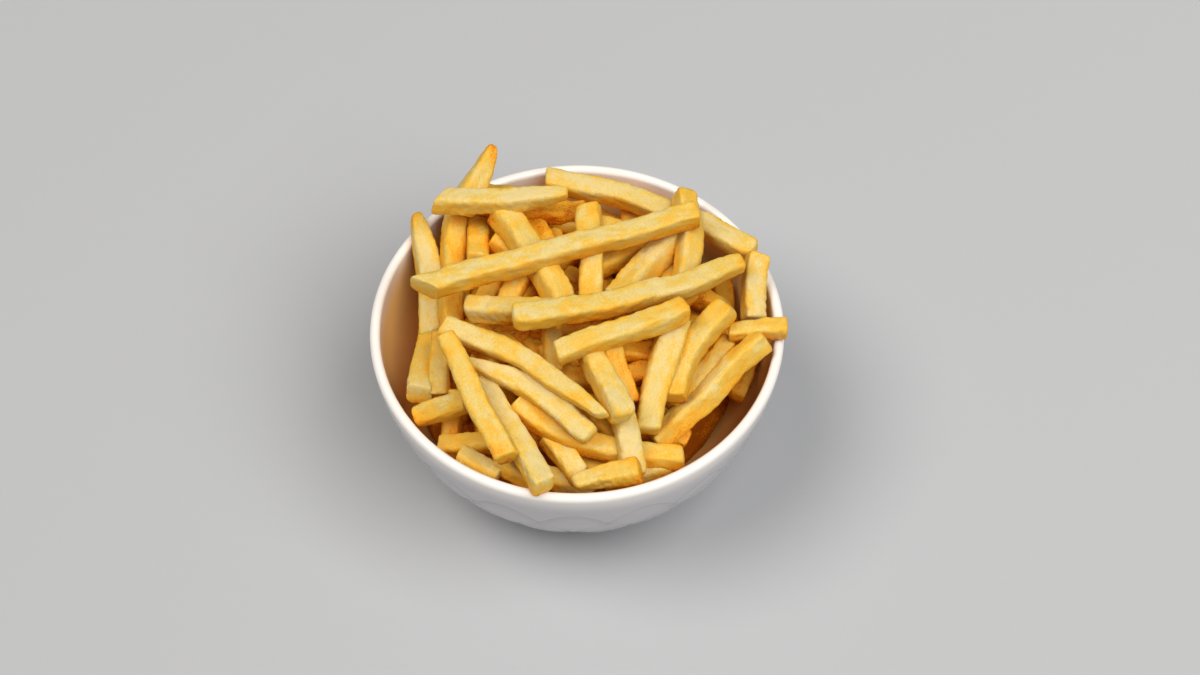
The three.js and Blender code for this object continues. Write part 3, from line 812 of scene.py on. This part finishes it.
oiliness = add(
    tree, "ShaderNodeMapRange", {"Value": blotches, "To Min": OILINESS[0], "To Max": OILINESS[1]}
).outputs[0]
blisters = add(
    tree, "ShaderNodeBump", {"Height": blotches, "Strength": CRUST_BUMP, "Distance": BLISTER_HEIGHT}
).outputs[0]
crispness = add(
    tree,
    "ShaderNodeBump",
    {"Height": grain, "Strength": CRUST_BUMP, "Distance": GRAIN_HEIGHT, "Normal": blisters},
).outputs[0]
potato = add(
    tree,
    "ShaderNodeBsdfPrincipled",
    {
        "Base Color": colours.outputs["Color"],
        "Roughness": oiliness,
        "IOR": CRUST_INDEX,
        "Specular IOR Level": CRUST_SHINE,
        "Normal": crispness,
        "Subsurface Weight": GLOW_SHARE,
        "Subsurface Radius": GLOW_COLOURS,
        "Subsurface Scale": GLOW_DEPTH,
    },
)
tree.links.new(potato.outputs[0], output.inputs["Surface"])
print("material:", crust.name)

# %% [markdown]
# ## The shape of one fry
#
# A fry starts as a bar cut square. In the oil its faces sink, its edges stay proud and blister, and it
# bends a little. So its section is a rounded square, a superellipse with slightly hollow faces, carried
# along a bowed line that rolls and wanders. Its ends are cut blunt, or thin out where the cut ran off
# the potato. Unevenness comes from a few seeded waves added up, which is quick and repeats exactly.

# %% Waves
WAVES = 7  # in each ripple


def ripple(place, length, draw):
    """
    Seeded sine waves of one length in random directions, sin(2 pi d.p / length + s), added up and
    divided by the root of their number.
    """
    heading = draw.normal(size=(WAVES, 3))
    heading /= np.linalg.norm(heading, axis=1, keepdims=True)
    phase = draw.uniform(0, 2 * np.pi, WAVES)
    waves = np.sin(place @ heading.T * (2 * np.pi / length) + phase)
    return waves.mean(-1) * math.sqrt(WAVES)


# %% A fry's section
CORNER_CROWDING = 0.11  # radians by which a section's points draw up to its corners
SQUARENESS = (3.6, 5.0)  # range of the power of a section's superellipse
THICKNESSES = (0.98, 1.08)  # range of a fry's thickness, in widths
FACE_HOLLOWS = (0.0, 0.02)  # range of how far the middle of a face sinks in, as a share
LEANS = (-0.16, 0.16)  # how far a section leans over, as a share of its height


def section_angles(sides):
    """Angles round a section, closer together at its four corners."""
    even = np.arange(sides) * 2 * np.pi / sides
    return even + CORNER_CROWDING * np.sin(4 * even)


def square_section(half, size, sides, draw):
    """
    The two ways across a fry, from r = (|cos a|^p + |sin a|^p)^(-1/p) times half the width, with the
    faces a little hollow and the whole leaning. And how near the middle of a face it is, from 0 to 1.
    """
    squareness = draw.uniform(*SQUARENESS)
    angles = section_angles(sides)
    cosine, sine = np.cos(angles), np.sin(angles)
    round_square = (np.abs(cosine) ** squareness + np.abs(sine) ** squareness) ** (-1 / squareness)
    face = np.cos(2 * angles) ** 2
    thick = draw.uniform(*THICKNESSES)
    hollow = draw.uniform(*FACE_HOLLOWS)
    lean = draw.uniform(*LEANS)
    y = half * size * round_square * (1 - hollow * face) * cosine
    z = half * thick * size * round_square * (1 - hollow * face) * sine
    return y + lean * z, z, face


# %% Along a fry
CAP_POWERS = (5, 3)  # of an end's superellipse: far shorter than the other end, and far longer
CAP_START = 0.05  # the first ring of an end, as a share of half a turn


def length_rows(length, caps, rings, cap_rings):
    """
    Places along a fry, and the share of the section there. An end is a quarter of a superellipse,
    share = sin(a)^(2/q) at depth cap (1 - cos(a)^(2/q)): short and square, or long and round.
    """
    turn = np.linspace(CAP_START, 0.5, cap_rings) * np.pi
    depths, shares = [], []
    for cap in caps:
        q = np.interp(cap / sum(caps), [0, 1], CAP_POWERS)
        depth = cap * (1 - np.cos(turn) ** (2 / q))
        depth[-1] = cap
        depths.append(depth)
        shares.append(np.sin(turn) ** (2 / q))
    body = np.linspace(caps[0], length - caps[1], rings - 2 * cap_rings + 2)[1:-1]
    place = np.concatenate([depths[0], body, length - depths[1][::-1]])
    return place, np.concatenate([shares[0], np.ones(len(body)), shares[1][::-1]])


def fry_line(one, place, length):
    """A fry's middle line, its direction, and the level way and the upward way across it."""
    along = place / length
    heights = one.heights[0] + (one.heights[1] - one.heights[0]) * along
    middle = slide(marks_along(one, along), heights)
    direction = np.gradient(middle, place, axis=0)
    direction /= np.linalg.norm(direction, axis=1, keepdims=True)
    across = np.cross([0, 0, 1], direction)
    across /= np.linalg.norm(across, axis=1, keepdims=True)
    return middle, direction, across, np.cross(direction, across)


# %% [markdown]
# A crust is deepest in colour where it dries first, on its edges and at its two ends. So the toast
# value starts from the fry's own tone and grows on its edges and at the fry's two ends. Painted shade
# is added where a face turns away from up and with the depth below the heap's dome, where less light
# reaches.

# %% How toasted and shaded it is
EDGE_TOAST = 0.07  # how much deeper the colour is on an edge
EDGE_POWER = 3  # how closely that keeps to the edge
SIDE_SHADE = 0.26  # painted shade: how much deeper the colour is on a fry's side than on its top
PALE_UP = 0.83  # a face turned up by this much has the fry's own tone, without painted shade
CUT_END_LIFT = 0.5  # the cut ends get as little painted shade as a face that is turned up by this much
DEPTH_SHADE = 0.3  # painted shade: how much deeper the colour is down in the heap
DEEP_REACH = 26  # mm below the heap's dome where it is fully so
END_TOAST = 0.06  # at both ends, before what a fry's row adds there
END_REACH = 4  # mm over which an end's browning fades


def toast_and_shade_on(one, points, facing_up, face, from_ends):
    """The fry's tone, and what its edges and its ends add, with painted shade for a turn from up and
    for the depth in the heap.
    """
    toast_and_shade = one.tone + EDGE_TOAST * (1 - face) ** EDGE_POWER
    # Painted shade on the sides and undersides of the fry.
    toast_and_shade = toast_and_shade + SIDE_SHADE * (PALE_UP - np.clip(facing_up, -1, 1))
    away = np.hypot(points[..., 0] - HEAP_MIDDLE[0], points[..., 1] - HEAP_MIDDLE[1])
    depth = HEAP_TOP - HEAP_FALL * (away / HEAP_REACH) ** 2 - points[..., 2]
    # Painted shade down in the heap.
    toast_and_shade = toast_and_shade + DEPTH_SHADE * smooth(depth / DEEP_REACH)
    for brown, away in zip(one.brown, from_ends):
        toast_and_shade = toast_and_shade + (brown + END_TOAST) * np.exp(-away / END_REACH)[:, None]
    return toast_and_shade


# %% One fry
CAP_RINGS = 9
TIP_TAPER = 24  # mm over which a thin tip widens to the full section
TAPER_POWER = 1.5
SWELLS = (  # height and length in mm, and how the waves are drawn out along the fry
    (0.22, 13, (0.6, 1, 1)),
    (0.11, 5, (1, 1, 1)),
    (0.09, 2.6, (1, 1, 1)),
)
ROLL_SPREAD = 8  # degrees
TWIST_SPREAD = 14  # degrees from one end to the other
WANDER = 0.35  # mm that the line swings to each side
WANDER_LENGTHS = (28, 45)  # mm from one swing to the next
SLANT_SPREAD = 0.2  # how much an end face may slant of itself
SLANT_REACH = 3  # mm over which the slant of an end face fades
TOAST_WAVE = 0.06  # slow changes of the toast value over the fry
TOAST_WAVE_LENGTH = 15
TOAST_WAVE_STRETCH = (0.5, 1, 1)
PATTERN_SPREAD = 500  # mm: each fry reads the patterns at a place of its own, up to this far out


def fry_skin(one, seed, sides, rings, cap_rings=CAP_RINGS):
    """
    The skin of a fry: point = line(t) + across * y + upward * z + direction * shear, with (y, z) the
    superellipse section, rolled and roughened, shear the slant near the two end faces, and t the
    share of the fry's length.
    """
    draw = np.random.default_rng(seed)
    ends = slide(one.marks, one.heights)
    length = np.linalg.norm(ends[1] - ends[0])
    place, share = length_rows(length, [end * one.width for end in one.ends], rings, cap_rings)
    from_ends = (place, length - place)
    middle, direction, across, upward = fry_line(one, place, length)

    taper = np.ones_like(place)
    for tip, away in zip(one.tips, from_ends):
        taper *= 1 - (1 - tip) * np.clip(1 - away / TIP_TAPER, 0, 1) ** TAPER_POWER
    size = (share * taper)[:, None]
    half = one.width / 2
    y, z, face = square_section(half, size, sides, draw)

    spot = np.stack([np.broadcast_to(place[:, None], y.shape), y, z], -1)
    swell = sum(high * ripple(spot * drawn_out, wave, draw) for high, wave, drawn_out in SWELLS)
    y, z = y * (1 + swell / half), z * (1 + swell / half)
    twist = place[:, None] / length - 0.5
    roll = one.roll + draw.uniform(-ROLL_SPREAD, ROLL_SPREAD)
    roll = np.radians(roll + draw.uniform(-TWIST_SPREAD, TWIST_SPREAD) * twist)
    y, z = y * np.cos(roll) - z * np.sin(roll), y * np.sin(roll) + z * np.cos(roll)

    wander = WANDER * np.sin(2 * np.pi * (place / draw.uniform(*WANDER_LENGTHS) + draw.uniform()))
    slant = draw.uniform(-SLANT_SPREAD, SLANT_SPREAD, (2, 2)) + np.array([one.cut, (0, 0)]).T
    near_end = [np.exp(-away / SLANT_REACH)[:, None] for away in from_ends]
    shear = sum(near_end[i] * (slant[i, 0] * y + slant[i, 1] * z) for i in (0, 1))
    points = (
        middle[:, None]
        + across[:, None] * (y + wander[:, None])[..., None]
        + upward[:, None] * z[..., None]
        + direction[:, None] * shear[..., None]
    )
    poles = np.array([points[0].mean(0), points[-1].mean(0)])

    facing_up = (across[:, None] * y[..., None] + upward[:, None] * z[..., None])[..., 2] / half
    facing_up = facing_up + CUT_END_LIFT * (1 - size)
    toast_and_shade = toast_and_shade_on(one, points, facing_up, face, from_ends)
    toast_and_shade = toast_and_shade + TOAST_WAVE * ripple(spot * TOAST_WAVE_STRETCH, TOAST_WAVE_LENGTH, draw)
    fry_place = (spot + draw.uniform(-PATTERN_SPREAD, PATTERN_SPREAD, 3)) * MM
    values = {
        "toast_and_shade": (toast_and_shade, toast_and_shade[[0, -1]].mean(1)),
        "fry_place": (fry_place, fry_place[[0, -1]].mean(1)),
    }
    return SimpleNamespace(points=points, poles=poles, values=values)


# %% [markdown]
# ## The heap
#
# The top fries show most, so they get the finest mesh, and those deep in the heap the coarsest. Under
# the bed that the solid model has, two more beds fill the dark between the fries. Each layer is one
# piece, joined from the skins of its fries.

# %% The layers of fries
FILL_BEDS = ((141, 30, 46, 0, 2), (74, 26, 40, 4, 4))  # seed, fries, radius, shift, sink
FILL_TONE = 0.45
ON_THE_CORE = (20, 20)  # heights that every fry is lifted from until it is clear of the core


def make_layer(name, fries, seed, sides, rings, cap_rings=CAP_RINGS):
    """One piece from the skins of many fries, each with a seed of its own."""
    skins = [fry_skin(row, seed + i, sides, rings, cap_rings) for i, row in enumerate(fries)]
    return make_piece(name, skins, crust)


top_fries = make_layer("top_fries", TOP_FRIES, seed=100, sides=56, rings=96)
middle_fries = make_layer("middle_fries", MIDDLE_FRIES, seed=200, sides=44, rings=72)
deep_fries = make_layer("deep_fries", DEEP_FRIES, seed=300, sides=40, rings=52)
fill = []
for seed, count, radius, shift, sink in FILL_BEDS:
    for row in bed(seed, count, radius, shift, FILL_TONE):
        row.held = ON_THE_CORE
        plan(row, 0)
        row.heights -= sink
        fill.append(row)
bed_fries = make_layer("bed_fries", BED + fill, seed=400, sides=28, rings=34, cap_rings=6)

# %% [markdown]
# The core only has to close the last gaps, as a lumpy ground that is seen in few places. It is painted
# dark brown: painted shade for the dark deep in the heap. It follows the solid model's core some
# millimetres lower, and sinks further along the wall and at the front right, where the heap has a
# hollow.

# %% The core
CORE_COLUMNS = 160
CORE_RINGS = 40
CORE_SEED = 5
CORE_SEARCHES = 24
CORE_GAP = 1  # between the core and the wall
CORE_LUMP_HEIGHT = 1.2
CORE_LUMP_LENGTH = 13
# Painted shade: the core is painted dark brown for the dark deep in the heap.
CORE_SHADE = 1.1
CORE_SINK = 5  # mm that it lies under the solid model's core
WALL_SINK = 14  # mm that it lies lower still along the wall
WALL_SINK_POWER = 4  # how closely that keeps to the wall
HOLLOW_PLACE = (46, -40)
HOLLOW_SINK = 24  # mm that it lies lower in the hollow at the front right
HOLLOW_REACH = 20
CORE_BOTTOM = 12


def sunk_core_height(x, y, sink):
    """The solid model's core less a sink, and less a bell of HOLLOW_SINK in the hollow."""
    away = np.hypot(x - HOLLOW_PLACE[0], y - HOLLOW_PLACE[1]) / HOLLOW_REACH
    return core_height(x, y) - sink - HOLLOW_SINK * np.exp(-(away**2))


def make_core():
    """A dome out to the wall, found by halving on every column, then down to a flat bottom."""
    draw = np.random.default_rng(CORE_SEED)
    azimuth = np.linspace(0, 2 * np.pi, CORE_COLUMNS, endpoint=False)
    heading = np.stack([np.cos(azimuth), np.sin(azimuth)], -1)
    near, far = np.zeros(CORE_COLUMNS), np.full(CORE_COLUMNS, float(RIM_RADIUS))
    for _ in range(CORE_SEARCHES):
        middle = (near + far) / 2
        x, y = heading.T * middle
        depth = BOWL_HEIGHT - sunk_core_height(x, y, CORE_SINK + WALL_SINK)
        wall = inside_radius(depth) - CORE_GAP
        inside = middle < wall
        near, far = np.where(inside, middle, near), np.where(inside, far, middle)
    share = np.linspace(1 / CORE_RINGS, 1, CORE_RINGS)[:, None]
    x, y = share * near * heading[:, 0], share * near * heading[:, 1]
    top = sunk_core_height(x, y, CORE_SINK + WALL_SINK * share**WALL_SINK_POWER)
    top += CORE_LUMP_HEIGHT * ripple(np.stack([x, y, 0 * x], -1), CORE_LUMP_LENGTH, draw)
    low = inside_radius(BOWL_HEIGHT - CORE_BOTTOM) - CORE_GAP
    foot = np.stack([low * heading[:, 0], low * heading[:, 1], 0 * near + CORE_BOTTOM], -1)
    points = np.concatenate([np.stack([x, y, top], -1), foot[None]])[::-1]
    poles = np.array([[0, 0, CORE_BOTTOM], [0, 0, float(core_height(0, 0)) - CORE_SINK]])
    toast_and_shade = np.full(points.shape[:2], CORE_SHADE)
    values = {"toast_and_shade": (toast_and_shade, (CORE_SHADE, CORE_SHADE)), "fry_place": (points * MM, poles * MM)}
    return SimpleNamespace(points=points, poles=poles, values=values)


core = make_piece("heap_core", [make_core()], crust)
for piece in (top_fries, middle_fries, deep_fries, bed_fries, core):
    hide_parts("fries")

# %% [markdown]
# ## Floor and light
#
# The bowl stands on plain pale paper, in soft studio light. A sun lamp with a wide angle stands for a
# broad window on the left, about 60 degrees up: it lights the paper evenly and gives the shadow on the
# right its soft edge. A large softbox high at the front right lights the sides that the window leaves
# dark, and a faint, cooler room fills what is left. Paper is a felt of fibres, so it is dull and has a
# fine tooth.

# %% Floor
FLOOR_SIZE = 8  # metres
PAPER = "#B7B8BA"
PAPER_ROUGHNESS = 0.95
PAPER_INDEX = 1.3
TOOTH = 0.9  # bumps in a millimetre: coarser than real fibres, so that they show
TOOTH_HEIGHT = 0.2 * MM
TOOTH_BUMP = 0.1  # strength of its bump

paper, tree, output = new_material("matt_paper")
place = add(tree, "ShaderNodeTexCoord").outputs["Object"]
tooth = add(
    tree, "ShaderNodeTexNoise", {"Vector": place, "Scale": TOOTH / MM, "Detail": 2.0}
).outputs["Fac"]
paper_relief = add(
    tree, "ShaderNodeBump", {"Height": tooth, "Strength": TOOTH_BUMP, "Distance": TOOTH_HEIGHT}
).outputs[0]
sheet = add(
    tree,
    "ShaderNodeBsdfPrincipled",
    {
        "Base Color": linear(PAPER),
        "Roughness": PAPER_ROUGHNESS,
        "IOR": PAPER_INDEX,
        "Normal": paper_relief,
    },
)
tree.links.new(sheet.outputs[0], output.inputs["Surface"])

floor_mesh = bpy.data.meshes.new("floor")
reach = FLOOR_SIZE / 2
corners = [(-reach, -reach, 0), (reach, -reach, 0), (reach, reach, 0), (-reach, reach, 0)]
floor_mesh.from_pydata(corners, [], [(0, 1, 2, 3)])
floor_mesh.materials.append(paper)
floor = new_object("floor", floor_mesh)
print("floor:", FLOOR_SIZE, "m square")

# %% Light
WINDOW_TO_LIGHT = (-36, -8, 66)  # the way from the bowl to the middle of the window
WINDOW_ANGLE = 34  # degrees that the window takes up, seen from the bowl
WINDOW_STRENGTH = 1.78
WINDOW_COLOUR = "#FFFAF4"
ROOM_COLOUR = "#EEF3FF"
ROOM_STRENGTH = 0.06
SOFTBOX_SIDE = 3.4  # metres, and so is its place
SOFTBOX_PLACE = (1.8, -1.5, 3.7)
SOFTBOX_POWER = 174  # watts
SOFTBOX_COLOUR = "#FFFEFC"

window = new_object("window", bpy.data.lights.new("window", "SUN"))
window.data.energy = WINDOW_STRENGTH
window.data.angle = math.radians(WINDOW_ANGLE)
window.data.color = linear(WINDOW_COLOUR)[:3]
across = math.hypot(*WINDOW_TO_LIGHT[:2])
tilt = math.atan2(across, WINDOW_TO_LIGHT[2])
turned = math.atan2(WINDOW_TO_LIGHT[1], WINDOW_TO_LIGHT[0]) + math.pi / 2
window.rotation_euler = (tilt, 0, turned)

softbox = new_object("softbox", bpy.data.lights.new("softbox", "AREA"))
softbox.data.size = SOFTBOX_SIDE
softbox.data.energy = SOFTBOX_POWER
softbox.data.color = linear(SOFTBOX_COLOUR)[:3]
softbox.location = SOFTBOX_PLACE
softbox.rotation_euler = Vector(SOFTBOX_PLACE).to_track_quat("Z", "Y").to_euler()

room = bpy.data.worlds.new("room")
room.use_nodes = True
backdrop = room.node_tree.nodes["Background"]
backdrop.inputs["Color"].default_value = linear(ROOM_COLOUR)
backdrop.inputs["Strength"].default_value = ROOM_STRENGTH
bpy.context.scene.world = room
bpy.context.scene.view_settings.view_transform = "Standard"
print("light from", WINDOW_TO_LIGHT, "elevation", round(90 - math.degrees(tilt)))
